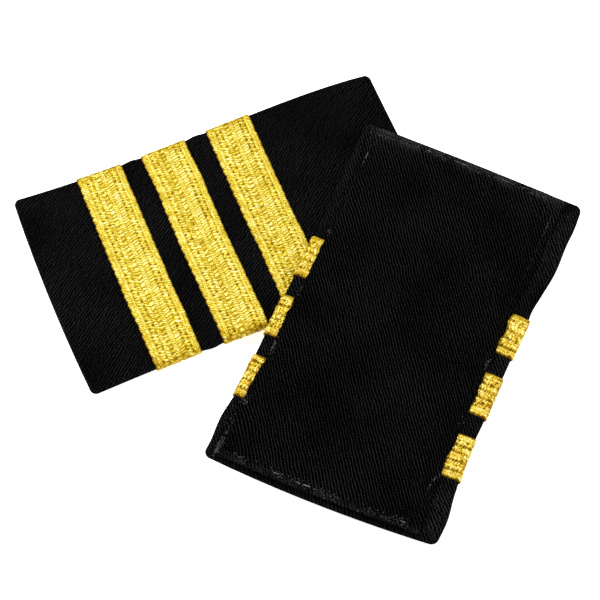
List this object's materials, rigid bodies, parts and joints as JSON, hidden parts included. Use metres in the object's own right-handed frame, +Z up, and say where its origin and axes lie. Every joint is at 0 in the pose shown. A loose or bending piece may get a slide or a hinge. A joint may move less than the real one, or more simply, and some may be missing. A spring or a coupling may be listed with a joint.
{
  "type": "epaulette slider pair",
  "caption": "Pair of black twill shoulder-strap sliders with gold braid bars across them, one lying face up and the other back up across its corner.",
  "frame": {"origin": "centre of the lower slider's back panel, on the face that rests on the table", "axes": "+Z up out of the lower slider's face, +X along the lower slider from the braided end to the plain end, +Y to its left side"},
  "size_m": [0.1375, 0.1325, 0.0101],
  "materials": {
    "cover_twill": "black fine polyester twill, matt with a faint sheen on the ribs",
    "panel_twill": "black twill with a visible diagonal rib, matt, slight grey fuzz along the stitched edges",
    "lining_cloth": "black plain-weave lining, matt",
    "board": "dark grey flexible stiffener sheet, matt",
    "gold_braid": "bright metallised gold lace, ribbed along its length with a looped selvedge",
    "sewing_thread": "black polyester sewing thread, satin"
  },
  "bodies": {
    "lower_slider": {"lower_front_cover": "cover_twill", "lower_stiffener_board": "board", "lower_lining": "lining_cloth", "lower_braid_bar_1": "gold_braid", "lower_braid_bar_2": "gold_braid", "lower_braid_bar_3": "gold_braid", "lower_back_panel": "panel_twill", "lower_left_edge_fold": "panel_twill", "lower_right_edge_fold": "panel_twill", "lower_left_side_seam": "sewing_thread", "lower_right_side_seam": "sewing_thread", "lower_near_hem_stitching": "sewing_thread", "lower_far_hem_stitching": "sewing_thread"},
    "upper_slider": {"upper_front_cover": "cover_twill", "upper_stiffener_board": "board", "upper_lining": "lining_cloth", "upper_braid_bar_1": "gold_braid", "upper_braid_bar_2": "gold_braid", "upper_braid_bar_3": "gold_braid", "upper_back_panel": "panel_twill", "upper_left_edge_fold": "panel_twill", "upper_right_edge_fold": "panel_twill", "upper_left_side_seam": "sewing_thread", "upper_right_side_seam": "sewing_thread", "upper_near_hem_stitching": "sewing_thread", "upper_far_hem_stitching": "sewing_thread"}
  },
  "joints": [
    {"name": "upper_slider_lift", "type": "slide", "parent": "lower_slider", "child": "upper_slider", "axis": [0, 0, 1], "range_m": [0, 0.04]}
  ]
}
